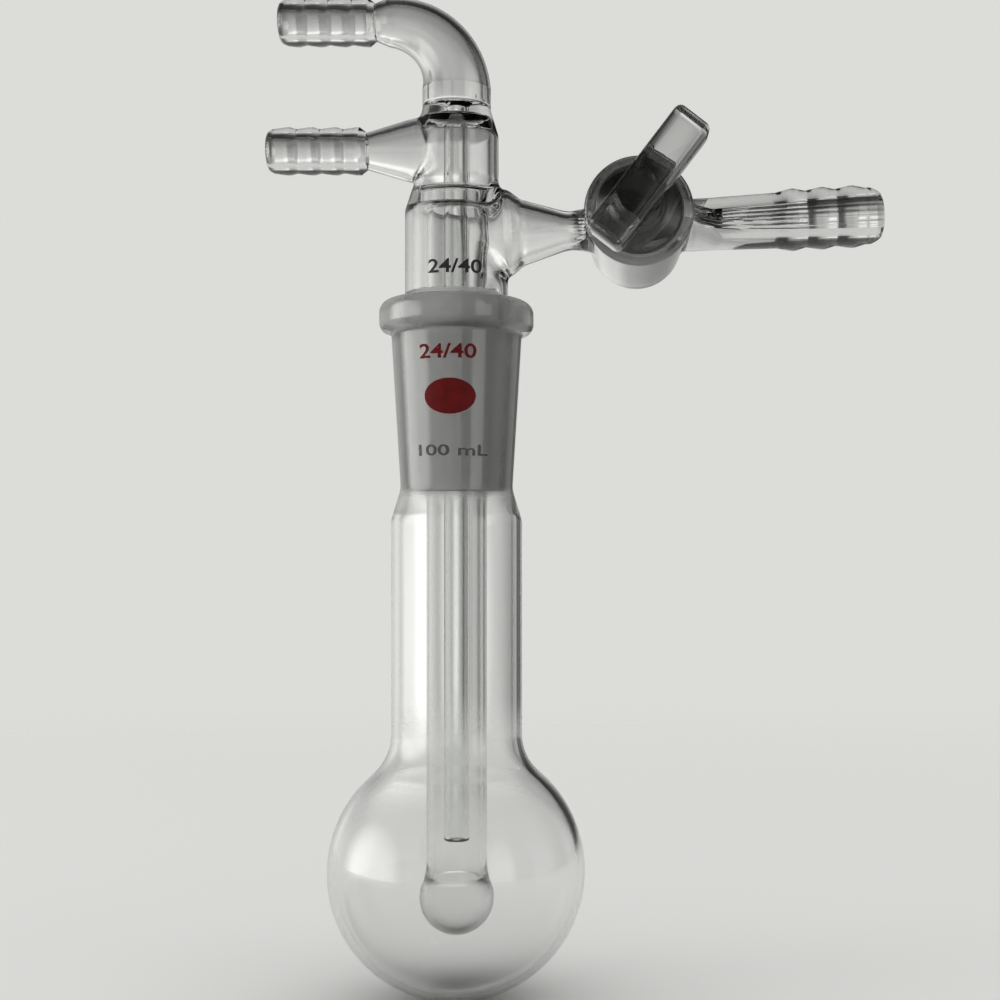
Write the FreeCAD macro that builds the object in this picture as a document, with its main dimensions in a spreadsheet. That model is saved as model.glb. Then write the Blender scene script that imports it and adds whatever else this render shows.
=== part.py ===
"""Sublimation apparatus: round flask with a ground joint, one-piece cold-finger head, stopcock plug.

Heights are worked out from the lowest point of the flask's bulb. The finished pieces are then
lowered so that the origin lies on the flask's axis, in the middle of the neck, where a stand's
clamp grips it. +Z is up, the hose connections for water point to -X, the vacuum side to +X, and
the stopcock's handle faces -Y.
"""
import FreeCAD
import Part
import Sketcher
import math
import os
import sys

doc = FreeCAD.newDocument("sublimation_apparatus")

# Driving dimensions in millimetres and degrees, read from the photograph at 0.22 mm a pixel.
sheet = doc.addObject("Spreadsheet::Sheet", "Sizes")
ROWS = [
    ("clamp_height", 81.0, "middle of the neck above the bulb's lowest point"),
    ("taper_large", 24.0, "ground joint, wide diameter"),
    ("taper_small", 20.0, "ground joint, narrow diameter"),
    ("taper_length", 40.0, "ground joint, length of the ground zone"),
    ("ground_gap", 0.05, "radial space between the two ground cones of the joint"),
    ("rim_height", 153.0, "flask's rim"),
    ("bulb_radius", 28.2, "outside of the bulb"),
    ("flask_wall", 1.6, "glass of the bulb and the neck"),
    ("neck_radius", 14.35, "outside of the neck"),
    ("neck_draw", 8.0, "length over which the neck draws in to the joint"),
    ("neck_blend", 11.0, "outer rounding between the neck and the bulb"),
    ("draw_blend", 6.0, "rounding at both ends of the drawn-in part"),
    ("joint_foot_radius", 12.25, "outside of the joint at the foot of the ground zone"),
    ("joint_head_radius", 14.25, "outside of the joint under the bead"),
    ("bead_radius", 16.9, "outside of the reinforcing bead"),
    ("bead_height", 6.8, "bead from its underside to the rim"),
    ("bead_round", 2.6, "rounding of the bead"),
    ("under_bead_round", 0.9, "rounding in the corner under the bead"),
    ("rim_chamfer", 0.7, "bevel inside the rim"),
    ("lip_drop", 2.2, "head's glass below the ground zone"),
    ("ground_overrun", 0.8, "head's ground zone above the rim"),
    ("tube_radius", 11.3, "outside of the head's vapour tube"),
    ("head_wall", 1.6, "glass of the vapour tube"),
    ("lip_bore_radius", 8.3, "inside of the head at its lower lip"),
    ("seal_ceiling", 173.3, "top of the vapour space"),
    ("seal_floor", 176.3, "floor of the water chamber"),
    ("shoulder_height", 172.8, "where the vapour tube ends"),
    ("chamber_radius", 9.2, "outside of the water chamber"),
    ("chamber_foot", 179.3, "where the water chamber is straight"),
    ("chamber_top", 189.6, "where the water chamber starts to close"),
    ("chamber_wall", 1.5, "glass of the water chamber"),
    ("chamber_ceiling", 193.2, "top of the water chamber's inside"),
    ("bend_foot", 195.2, "where the bend's tube starts"),
    ("bend_start", 199.8, "where the bend's tube starts to turn"),
    ("bend_radius", 14.7, "bend, at the middle of the tube"),
    ("bend_tube_radius", 7.5, "outside of the bend's tube at its foot"),
    ("bend_end_radius", 5.2, "outside of the bend's tube at the hose connection"),
    ("bend_wall", 1.4, "glass of the bend"),
    ("finger_radius", 6.6, "outside of the cold finger"),
    ("finger_wall", 1.3, "glass of the cold finger"),
    ("ball_radius", 8.15, "outside of the finger's blown end"),
    ("ball_height", 22.3, "middle of the blown end"),
    ("ball_blend", 2.5, "rounding above the blown end"),
    ("inner_radius", 2.8, "outside of the inner water tube"),
    ("inner_bore", 1.8, "inside of the inner water tube"),
    ("inner_end", 34.8, "open end of the inner water tube"),
    ("hose_neck", 4.0, "water hose connection before its first ring"),
    ("hose_root", 4.75, "water hose connection between its rings"),
    ("hose_crest", 5.15, "water hose connection on its rings"),
    ("hose_tip", 3.9, "water hose connection at its end"),
    ("hose_bore", 2.8, "inside of the water hose connections"),
    ("hose_pitch", 5.1, "from one ring to the next"),
    ("hose_land", 0.8, "flat on each ring"),
    ("hose_rise", 1.5, "slope up to each ring"),
    ("upper_hose_reach", 38.8, "end of the upper hose connection from the axis"),
    ("upper_hose_start", 17.7, "start of the upper hose connection"),
    ("lower_hose_height", 186.2, "axis of the lower hose connection"),
    ("lower_hose_reach", 41.4, "end of the lower hose connection from the axis"),
    ("lower_cone_start", 8.4, "wide end of the lower connection's cone"),
    ("lower_cone_end", 19.6, "narrow end of the lower connection's cone"),
    ("lower_cone_radius", 7.3, "wide end of the lower connection's cone"),
    ("barrel_reach", 39.7, "stopcock's axis from the flask's axis"),
    ("barrel_height", 169.4, "stopcock's middle"),
    ("barrel_length", 34.5, "stopcock's barrel along its axis"),
    ("barrel_near_radius", 11.6, "barrel's wide end, handle side"),
    ("barrel_far_radius", 10.4, "barrel's narrow end"),
    ("barrel_round", 1.0, "rounding of the barrel's ends"),
    ("plug_small", 15.2, "ground bore of the barrel at its narrow end"),
    ("plug_taper", 0.1, "diameter gained per millimetre along the barrel"),
    ("plug_gap", 0.04, "radial space between the plug and the barrel"),
    ("port_radius", 2.0, "gas way through the barrel and the plug"),
    ("arm_tilt", 2.5, "rise of the side arm towards the stopcock"),
    ("arm_radius", 4.2, "outside of the side arm's tube"),
    ("arm_wall", 1.5, "glass of the side arm"),
    ("arm_cone_start", 15.6, "narrow end of the cone from the stopcock's middle"),
    ("arm_flare_start", 25.4, "where the cone starts to flare, from the stopcock's middle"),
    ("arm_flare_radius", 7.2, "outside of the cone where it starts to flare"),
    ("arm_cone_end", 28.2, "wide end of the flare from the stopcock's middle"),
    ("arm_cone_radius", 9.6, "wide end of the side arm's flare"),
    ("arm_blend", 9.0, "rounding where the cone meets the tube"),
    ("vacuum_tilt", 3.0, "rise of the vacuum tube away from the stopcock"),
    ("vacuum_radius", 5.7, "vacuum tube next to the stopcock"),
    ("vacuum_swell", 5.95, "vacuum tube before its rings"),
    ("vacuum_crest", 6.7, "vacuum hose connection on its rings"),
    ("vacuum_root", 6.15, "vacuum hose connection between its rings"),
    ("vacuum_tip", 3.9, "vacuum hose connection at its end"),
    ("vacuum_bore", 3.3, "inside of the vacuum tube"),
    ("vacuum_neck", 30.0, "start of the rings from the stopcock's middle"),
    ("vacuum_pitch", 6.5, "from one ring to the next"),
    ("vacuum_land", 0.9, "flat on each ring"),
    ("vacuum_rise", 3.7, "slope up to the first ring"),
    ("vacuum_reach", 53.7, "end of the vacuum tube from the stopcock's middle"),
    ("plug_tail", 8.5, "plug behind the barrel's narrow end"),
    ("tail_radius", 6.0, "plug's tail"),
    ("groove_radius", 4.8, "groove for the retaining ring"),
    ("groove_start", 3.9, "groove from the tail's end"),
    ("groove_width", 2.6, "groove along the plug"),
    ("plug_stand", 2.0, "plug's head in front of the barrel"),
    ("stem_radius", 4.4, "stem between the plug and its handle"),
    ("stem_round", 2.4, "rounding at the foot of the stem"),
    ("handle_front", 22.0, "handle's front face from the barrel's wide end"),
    ("handle_depth", 9.0, "handle along the stopcock's axis"),
    ("handle_length", 30.0, "handle from end to end"),
    ("handle_width", 8.3, "handle across"),
    ("handle_offset", 2.5, "handle's middle from the stopcock's axis, towards its upper end"),
    ("handle_round", 0.9, "rounding of the handle's edges"),
    ("handle_angle", 52.5, "handle above the horizontal, as photographed"),
    ("washer_radius", 9.2, "outside of the plug's washer"),
    ("washer_thick", 1.6, "washer along the plug"),
    ("washer_play", 0.1, "space at the washer's bore and at its face"),
    ("ring_section", 1.2, "retaining ring's round section, radius"),
    ("ring_play", 0.03, "space between the ring and the bottom of its groove"),
]
for number, (alias, value, note) in enumerate(ROWS, start=1):
    sheet.set("A%d" % number, alias)
    sheet.set("B%d" % number, str(value))
    sheet.set("C%d" % number, note)
    sheet.setAlias("B%d" % number, alias)
doc.recompute()


def bind(thing, **formulas):
    """Tie properties to formulas; a double underscore in a keyword stands for the dot of a sub-property."""
    for key, formula in formulas.items():
        thing.setExpression(key.replace("__", "."), formula)


def origin_plane(body, role):
    for feature in body.Origin.OriginFeatures:
        if feature.Role == role:
            return feature
    sys.exit("no plane " + role)


def new_body(name):
    return doc.addObject("PartDesign::Body", name)


def rounded(body, base, places, formula, name):
    """Round the edges of base that run round its axis at the given heights and distances from it."""
    found = []
    for index, edge in enumerate(base.Shape.Edges, start=1):
        if edge.Degenerated:
            continue
        span = edge.LastParameter - edge.FirstParameter
        points = [edge.valueAt(edge.FirstParameter + share * span) for share in (0.1, 0.5, 0.9)]
        for height, out in places:
            if all(abs(p.z - height) < 0.01 and abs(math.hypot(p.x, p.y) - out) < 0.01 for p in points):
                found.append("Edge%d" % index)
    if len(found) < len(places):
        sys.exit("%s: %d of %d edges found" % (name, len(found), len(places)))
    fillet = body.newObject("PartDesign::Fillet", name)
    fillet.Base = (base, sorted(set(found)))
    bind(fillet, Radius=formula)
    doc.recompute()
    return fillet


def place(sketch, geometry, where, across):
    """Hold a point of the sketch at two formulas; "0" puts it on the sketch's axis."""
    for direction, formula, value, axis in (
        ("DistanceX", across[0], where.x, -2),
        ("DistanceY", across[1], where.y, -1),
    ):
        if formula == "0":
            sketch.addConstraint(Sketcher.Constraint("PointOnObject", geometry, 1, axis))
            continue
        index = sketch.addConstraint(Sketcher.Constraint(direction, -1, 1, geometry, 1, value))
        sketch.setExpression("Constraints[%d]" % index, formula)


def solved(corners, lengthwise):
    """Where the corners lie and how large their roundings are, from a helper sketch."""
    guide = doc.addObject("Sketcher::SketchObject", "guide")
    for k, (radius, height, rounding) in enumerate(corners):
        start = FreeCAD.Vector(20 + k, 20 + k * k, 0)
        guide.addGeometry(Part.Point(start), False)
        place(guide, 2 * k, start, (height, radius) if lengthwise else (radius, height))
        guide.addGeometry(Part.Circle(start, FreeCAD.Vector(0, 0, 1), 1.0), False)
        index = guide.addConstraint(Sketcher.Constraint("Radius", 2 * k + 1, 1.0))
        guide.setExpression("Constraints[%d]" % index, rounding or "1")
    doc.recompute()
    points = [FreeCAD.Vector(guide.Geometry[2 * k].X, guide.Geometry[2 * k].Y, 0) for k in range(len(corners))]
    sizes = [guide.Geometry[2 * k + 1].Radius for k in range(len(corners))]
    doc.removeObject(guide.Name)
    return points, sizes


def corner_arc(point, before, after, size):
    """The rounding of one corner: its first and last point and the arc, which runs counterclockwise."""
    back = (before - point).normalize()
    ahead = (after - point).normalize()
    half = back.getAngle(ahead) / 2
    first = point + back * (size / math.tan(half))
    last = point + ahead * (size / math.tan(half))
    centre = point + (back + ahead).normalize() * (size / math.sin(half))
    forward = (first - centre).cross(last - centre).z > 0
    begin, end = (first, last) if forward else (last, first)
    turn_from = math.atan2(begin.y - centre.y, begin.x - centre.x)
    turn_to = math.atan2(end.y - centre.y, end.x - centre.x)
    if turn_to < turn_from:
        turn_to += 2 * math.pi
    circle = Part.Circle(centre, FreeCAD.Vector(0, 0, 1), size)
    return first, last, Part.ArcOfCircle(circle, turn_from, turn_to), forward


def turned(body, name, corners, lengthwise):
    """Turn a closed outline of (radius, height, rounding) formulas about Z, or about X if lengthwise.

    A radius of "0" lies on the axis. The outline starts at the +Y side, away from the arms, where
    the turned faces have their seam.
    """
    sketch = body.newObject("Sketcher::SketchObject", name + "_section")
    sketch.AttachmentSupport = [(origin_plane(body, "XY_Plane" if lengthwise else "YZ_Plane"), "")]
    sketch.MapMode = "FlatFace"
    count = len(corners)
    points, sizes = solved(corners, lengthwise)
    starts = list(points)
    ends = list(points)
    arcs = {}
    for k in range(count):
        if corners[k][2]:
            first, last, arc, forward = corner_arc(
                points[k], points[k - 1], points[(k + 1) % count], sizes[k]
            )
            ends[k], starts[k] = first, last
            arcs[k] = (arc, forward)
    for k in range(count):
        sketch.addGeometry(Part.LineSegment(starts[k], ends[(k + 1) % count]), False)
    for k, (radius, height, rounding) in enumerate(corners):
        across = (height, radius) if lengthwise else (radius, height)
        before = (k - 1) % count
        if not rounding:
            sketch.addConstraint(Sketcher.Constraint("Coincident", before, 2, k, 1))
            place(sketch, k, points[k], across)
            continue
        arc, forward = arcs[k]
        bow = sketch.addGeometry(arc, False)
        corner = sketch.addGeometry(Part.Point(points[k]), True)
        sketch.addConstraint(Sketcher.Constraint("Tangent", before, 2, bow, 1 if forward else 2))
        sketch.addConstraint(Sketcher.Constraint("Tangent", bow, 2 if forward else 1, k, 1))
        sketch.addConstraint(Sketcher.Constraint("PointOnObject", corner, 1, before))
        sketch.addConstraint(Sketcher.Constraint("PointOnObject", corner, 1, k))
        place(sketch, corner, points[k], across)
        index = sketch.addConstraint(Sketcher.Constraint("Radius", bow, sizes[k]))
        sketch.setExpression("Constraints[%d]" % index, rounding)
    doc.recompute()
    solid = body.newObject("PartDesign::Revolution", name + "_turned")
    solid.Profile = sketch
    solid.ReferenceAxis = (sketch, ["H_Axis" if lengthwise else "V_Axis"])
    solid.Angle = 360.0
    doc.recompute()
    return solid


def ball(body, name, radius, height):
    """Add a sphere on the body's Z axis."""
    sphere = body.newObject("PartDesign::AdditiveSphere", name)
    sphere.AttachmentSupport = [(origin_plane(body, "XY_Plane"), "")]
    sphere.MapMode = "FlatFace"
    bind(sphere, Radius=radius, AttachmentOffset__Base__z=height)
    doc.recompute()
    return sphere


def joined(kind, name, base, tools):
    """Fuse or cut the tools one after another; only the last result gets the plain name."""
    for step, tool in enumerate(tools, start=1):
        result = doc.addObject(kind, name if step == len(tools) else "%s_step_%d" % (name, step))
        result.Base = base
        result.Tool = tool
        doc.recompute()
        base = result
    return base


def hose_rings(neck, root, crest, first, pitch, land, rise, rings):
    """Corners of a serrated hose connection, starting at the neck after its plain tube."""
    corners = []
    for ring in range(rings):
        foot = "%s + %d * %s" % (first, ring, pitch)
        corners.append((root if ring else neck, foot, None))
        corners.append((crest, "%s + %s" % (foot, rise), None))
        corners.append((crest, "%s + %s + %s" % (foot, rise, land), None))
    return corners


JOINT_FOOT = "Sizes.rim_height - Sizes.taper_length"
NECK_TOP = JOINT_FOOT + " - Sizes.neck_draw"
TAPER = "(Sizes.taper_large - Sizes.taper_small) / 2 / Sizes.taper_length"

# Flask: one piece of glass, a bulb and neck with the ground outer joint and its bead.
flask_outside = new_body("flask_outside")
turned(
    flask_outside,
    "flask_outside",
    [
        ("0", "Sizes.bulb_radius", None),
        ("Sizes.neck_radius", "Sizes.bulb_radius", None),
        ("Sizes.neck_radius", NECK_TOP, "Sizes.draw_blend"),
        ("Sizes.joint_foot_radius", JOINT_FOOT + " - 1", "Sizes.draw_blend"),
        ("Sizes.joint_head_radius", "Sizes.rim_height - Sizes.bead_height - 0.6", "Sizes.under_bead_round"),
        ("Sizes.bead_radius", "Sizes.rim_height - Sizes.bead_height", "Sizes.bead_round"),
        ("Sizes.bead_radius", "Sizes.rim_height", "Sizes.bead_round"),
        ("0", "Sizes.rim_height", None),
    ],
    False,
)
bulb = ball(flask_outside, "bulb", "Sizes.bulb_radius", "Sizes.bulb_radius")
bulb_radius = sheet.get("bulb_radius")
neck_radius = sheet.get("neck_radius")
crossing = bulb_radius + math.sqrt(bulb_radius**2 - neck_radius**2)
rounded(flask_outside, bulb, [(crossing, neck_radius)], "Sizes.neck_blend", "neck_blend")

flask_inside = new_body("flask_inside")
turned(
    flask_inside,
    "flask_inside",
    [
        ("0", "Sizes.bulb_radius", None),
        ("Sizes.neck_radius - Sizes.flask_wall", "Sizes.bulb_radius", None),
        ("Sizes.neck_radius - Sizes.flask_wall", NECK_TOP + " + 0.5", "Sizes.draw_blend - Sizes.flask_wall"),
        ("Sizes.taper_small / 2", JOINT_FOOT, None),
        (
            "Sizes.taper_large / 2 - Sizes.rim_chamfer * " + TAPER,
            "Sizes.rim_height - Sizes.rim_chamfer",
            None,
        ),
        ("Sizes.taper_large / 2 + Sizes.rim_chamfer", "Sizes.rim_height", None),
        ("Sizes.taper_large / 2 + Sizes.rim_chamfer", "Sizes.rim_height + 2", None),
        ("0", "Sizes.rim_height + 2", None),
    ],
    False,
)
hollow = ball(flask_inside, "bulb_hollow", "Sizes.bulb_radius - Sizes.flask_wall", "Sizes.bulb_radius")
wall = sheet.get("flask_wall")
crossing = bulb_radius + math.sqrt((bulb_radius - wall) ** 2 - (neck_radius - wall) ** 2)
rounded(
    flask_inside,
    hollow,
    [(crossing, neck_radius - wall)],
    "Sizes.neck_blend + Sizes.flask_wall",
    "neck_blend_inside",
)
flask = joined("Part::Cut", "flask", flask_outside, [flask_inside])

# Head: one piece of flame-worked glass. Its turned core is the ground inner joint, the vapour
# tube, the water chamber and the cold finger; the arms are fused on, then the ways are opened.
LIP = JOINT_FOOT + " - Sizes.lip_drop"
MALE_FOOT = "Sizes.taper_small / 2 - Sizes.ground_gap - Sizes.lip_drop * " + TAPER
MALE_HEAD = "Sizes.taper_large / 2 - Sizes.ground_gap + Sizes.ground_overrun * " + TAPER
core = new_body("head_core")
turned(
    core,
    "head_core",
    [
        ("0", "Sizes.ball_height", None),
        ("Sizes.finger_radius", "Sizes.ball_height", None),
        ("Sizes.finger_radius", LIP, None),
        (MALE_FOOT, LIP, "0.7"),
        (MALE_HEAD, "Sizes.rim_height + Sizes.ground_overrun", None),
        ("Sizes.tube_radius", "Sizes.rim_height + 2 * Sizes.ground_overrun", None),
        ("Sizes.tube_radius", "Sizes.shoulder_height", "Sizes.stem_round"),
        ("Sizes.chamber_radius", "Sizes.chamber_foot", "2 * Sizes.stem_round"),
        ("Sizes.chamber_radius", "Sizes.chamber_top", "2 * Sizes.stem_round"),
        ("Sizes.bend_tube_radius", "Sizes.bend_foot", "Sizes.stem_round"),
        ("Sizes.bend_tube_radius", "Sizes.bend_start", None),
        ("0", "Sizes.bend_start", None),
    ],
    False,
)
blown_end = ball(core, "blown_end", "Sizes.ball_radius", "Sizes.ball_height")
ball_radius = sheet.get("ball_radius")
ball_height = sheet.get("ball_height")
finger_radius = sheet.get("finger_radius")
crossing = ball_height + math.sqrt(ball_radius**2 - finger_radius**2)
rounded(core, blown_end, [(crossing, finger_radius)], "Sizes.ball_blend", "blown_end_blend")

vapour_space = new_body("vapour_space")
turned(
    vapour_space,
    "vapour_space",
    [
        ("Sizes.finger_radius", LIP + " - 3", None),
        ("Sizes.lip_bore_radius", LIP + " - 3", None),
        ("Sizes.lip_bore_radius", LIP, None),
        ("Sizes.tube_radius - Sizes.head_wall", "Sizes.rim_height", None),
        ("Sizes.tube_radius - Sizes.head_wall", "Sizes.seal_ceiling", "1.4"),
        ("Sizes.finger_radius", "Sizes.seal_ceiling", "1.4"),
    ],
    False,
)

FINGER_BORE = "Sizes.finger_radius - Sizes.finger_wall"
CHAMBER_BORE = "Sizes.chamber_radius - Sizes.chamber_wall"
SEAL_ROUND = "0.4 * (" + CHAMBER_BORE + " - (" + FINGER_BORE + "))"
water_space = new_body("water_space")
turned(
    water_space,
    "water_space",
    [
        ("0", "Sizes.ball_height", None),
        (FINGER_BORE, "Sizes.ball_height", None),
        (FINGER_BORE, "Sizes.seal_floor", SEAL_ROUND),
        (CHAMBER_BORE, "Sizes.seal_floor", SEAL_ROUND),
        (CHAMBER_BORE, "Sizes.chamber_top", None),
        ("Sizes.inner_radius + 2.2", "Sizes.chamber_ceiling", "1.2"),
        ("Sizes.inner_radius", "Sizes.chamber_ceiling", None),
        ("Sizes.inner_radius", "Sizes.inner_end", None),
        ("0", "Sizes.inner_end", None),
    ],
    False,
)
ball(water_space, "blown_end_hollow", "Sizes.ball_radius - Sizes.finger_wall", "Sizes.ball_height")

BEND_BORE = "Sizes.bend_tube_radius - Sizes.bend_wall"
inlet_space = new_body("inlet_space")
turned(
    inlet_space,
    "inlet_space",
    [
        ("0", "Sizes.inner_end - 0.5", None),
        ("Sizes.inner_bore", "Sizes.inner_end - 0.5", None),
        ("Sizes.inner_bore", "Sizes.bend_foot - 0.6", "0.8"),
        (BEND_BORE, "Sizes.bend_foot + 0.8", "1"),
        (BEND_BORE, "Sizes.bend_start", None),
        ("0", "Sizes.bend_start", None),
    ],
    False,
)


def bend(name, foot_radius, end_radius):
    """Quarter bend from the head's axis to the upper hose connection, swept between two circles."""
    spine = doc.addObject("Part::Circle", name + "_spine")
    spine.Angle1 = 0
    spine.Angle2 = 90
    spine.Placement = FreeCAD.Placement(FreeCAD.Vector(), FreeCAD.Rotation(FreeCAD.Vector(1, 0, 0), 90))
    bind(
        spine,
        Radius="Sizes.bend_radius",
        Placement__Base__x="-Sizes.bend_radius",
        Placement__Base__z="Sizes.bend_start",
    )
    foot = doc.addObject("Part::Circle", name + "_foot")
    bind(foot, Radius=foot_radius, Placement__Base__z="Sizes.bend_start")
    end = doc.addObject("Part::Circle", name + "_end")
    end.Placement = FreeCAD.Placement(FreeCAD.Vector(), FreeCAD.Rotation(FreeCAD.Vector(0, 1, 0), -90))
    bind(
        end,
        Radius=end_radius,
        Placement__Base__x="-Sizes.bend_radius",
        Placement__Base__z="Sizes.bend_start + Sizes.bend_radius",
    )
    doc.recompute()
    sweep = doc.addObject("Part::Sweep", name)
    sweep.Sections = [foot, end]
    sweep.Spine = (spine, ["Edge1"])
    sweep.Solid = True
    sweep.Frenet = True
    doc.recompute()
    return sweep


bend_outside = bend("bend_outside", "Sizes.bend_tube_radius", "Sizes.bend_end_radius")
bend_inside = bend("bend_inside", BEND_BORE, "Sizes.bend_end_radius - Sizes.bend_wall")


def facing(body, angle, formula, **base):
    """Point a lengthwise body: turn it about Y by the formula's angle and bring it to its place."""
    body.Placement = FreeCAD.Placement(FreeCAD.Vector(), FreeCAD.Rotation(FreeCAD.Vector(0, 1, 0), angle))
    bind(body, Placement__Rotation__Angle=formula, **base)
    doc.recompute()


# Upper hose connection, where the cooling water goes in.
UPPER_FIRST = "Sizes.upper_hose_start"
upper_hose = new_body("upper_hose")
turned(
    upper_hose,
    "upper_hose",
    [
        ("0", "Sizes.bend_radius", None),
        ("Sizes.bend_end_radius", "Sizes.bend_radius", None),
    ]
    + hose_rings(
        "Sizes.hose_neck",
        "Sizes.hose_root",
        "Sizes.hose_crest",
        UPPER_FIRST,
        "Sizes.hose_pitch",
        "Sizes.hose_land",
        "Sizes.hose_rise",
        4,
    )
    + [
        ("Sizes.hose_root", "Sizes.upper_hose_reach - 2", None),
        ("Sizes.hose_tip", "Sizes.upper_hose_reach", "0.5"),
        ("0", "Sizes.upper_hose_reach", None),
    ],
    True,
)
upper_hose_bore = new_body("upper_hose_bore")
turned(
    upper_hose_bore,
    "upper_hose_bore",
    [
        ("0", "Sizes.bend_radius", None),
        ("Sizes.bend_end_radius - Sizes.bend_wall", "Sizes.bend_radius", None),
        ("Sizes.hose_bore", UPPER_FIRST, None),
        ("Sizes.hose_bore", "Sizes.upper_hose_reach + 1", None),
        ("0", "Sizes.upper_hose_reach + 1", None),
    ],
    True,
)
for body in (upper_hose, upper_hose_bore):
    facing(body, 180, "180", Placement__Base__z="Sizes.bend_start + Sizes.bend_radius")

# Lower hose connection, where the cooling water comes out of the chamber.
lower_hose = new_body("lower_hose")
turned(
    lower_hose,
    "lower_hose",
    [
        ("0", "Sizes.lower_cone_start - 6", None),
        ("Sizes.lower_cone_radius", "Sizes.lower_cone_start - 6", None),
        ("Sizes.lower_cone_radius", "Sizes.lower_cone_start", None),
    ]
    + hose_rings(
        "Sizes.hose_neck",
        "Sizes.hose_root",
        "Sizes.hose_crest",
        "Sizes.lower_cone_end",
        "Sizes.hose_pitch",
        "Sizes.hose_land",
        "Sizes.hose_rise",
        4,
    )
    + [
        ("Sizes.hose_root", "Sizes.lower_hose_reach - 2", None),
        ("Sizes.hose_tip", "Sizes.lower_hose_reach", "0.5"),
        ("0", "Sizes.lower_hose_reach", None),
    ],
    True,
)
lower_hose_bore = new_body("lower_hose_bore")
turned(
    lower_hose_bore,
    "lower_hose_bore",
    [
        ("0", "Sizes.inner_radius + 1.5", None),
        ("Sizes.lower_cone_radius - Sizes.chamber_wall", "Sizes.inner_radius + 1.5", None),
        ("Sizes.lower_cone_radius - Sizes.chamber_wall", "Sizes.lower_cone_start", None),
        ("Sizes.hose_bore", "Sizes.lower_cone_end", None),
        ("Sizes.hose_bore", "Sizes.lower_hose_reach + 1", None),
        ("0", "Sizes.lower_hose_reach + 1", None),
    ],
    True,
)
for body in (lower_hose, lower_hose_bore):
    facing(body, 180, "180", Placement__Base__z="Sizes.lower_hose_height")

# Side arm from the vapour tube to the stopcock, measured from the stopcock's middle.
PLUG_MIDDLE = "(Sizes.plug_small + Sizes.plug_taper * Sizes.barrel_length / 2) / 2"
side_arm = new_body("side_arm")
turned(
    side_arm,
    "side_arm",
    [
        ("0", PLUG_MIDDLE + " + 0.8", None),
        ("Sizes.arm_radius", PLUG_MIDDLE + " + 0.8", None),
        ("Sizes.arm_radius", "Sizes.arm_cone_start", "Sizes.arm_blend"),
        ("Sizes.arm_flare_radius", "Sizes.arm_flare_start", "4"),
        ("Sizes.arm_cone_radius", "Sizes.arm_cone_end", "1.5"),
        ("Sizes.arm_cone_radius", "Sizes.barrel_reach - 1", None),
        ("0", "Sizes.barrel_reach - 1", None),
    ],
    True,
)
side_arm_bore = new_body("side_arm_bore")
ARM_MOUTH = "Sizes.barrel_reach - Sizes.finger_radius / 2 - 1"
turned(
    side_arm_bore,
    "side_arm_bore",
    [
        ("0", PLUG_MIDDLE + " - 1.5", None),
        ("Sizes.port_radius", PLUG_MIDDLE + " - 1.5", None),
        ("Sizes.port_radius", PLUG_MIDDLE + " + 2.5", None),
        ("Sizes.arm_radius - Sizes.arm_wall", PLUG_MIDDLE + " + 3.5", None),
        ("Sizes.arm_radius - Sizes.arm_wall", "Sizes.arm_cone_start", "Sizes.arm_blend + Sizes.arm_wall"),
        ("Sizes.arm_flare_radius - Sizes.arm_wall", "Sizes.arm_flare_start + 0.4", None),
        ("Sizes.arm_cone_radius - Sizes.arm_wall", "Sizes.arm_cone_end + 0.4", None),
        ("Sizes.arm_cone_radius - Sizes.arm_wall", ARM_MOUTH, None),
        ("0", ARM_MOUTH, None),
    ],
    True,
)
for body in (side_arm, side_arm_bore):
    facing(
        body,
        177.5,
        "180 - Sizes.arm_tilt",
        Placement__Base__x="Sizes.barrel_reach",
        Placement__Base__z="Sizes.barrel_height",
    )

# The arm opens at its full width into the vapour space, round the finger and under the ring seal.
kept_whole = new_body("kept_whole")
turned(
    kept_whole,
    "kept_whole",
    [
        ("0", LIP, None),
        ("Sizes.finger_radius + 0.3", LIP, None),
        ("Sizes.finger_radius + 0.3", "Sizes.seal_ceiling - 0.3", None),
        ("Sizes.tube_radius - Sizes.head_wall", "Sizes.seal_ceiling - 0.3", None),
        ("Sizes.tube_radius - Sizes.head_wall", "Sizes.chamber_top", None),
        ("0", "Sizes.chamber_top", None),
    ],
    False,
)
side_arm_way = joined("Part::Cut", "side_arm_way", side_arm_bore, [kept_whole])

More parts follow.
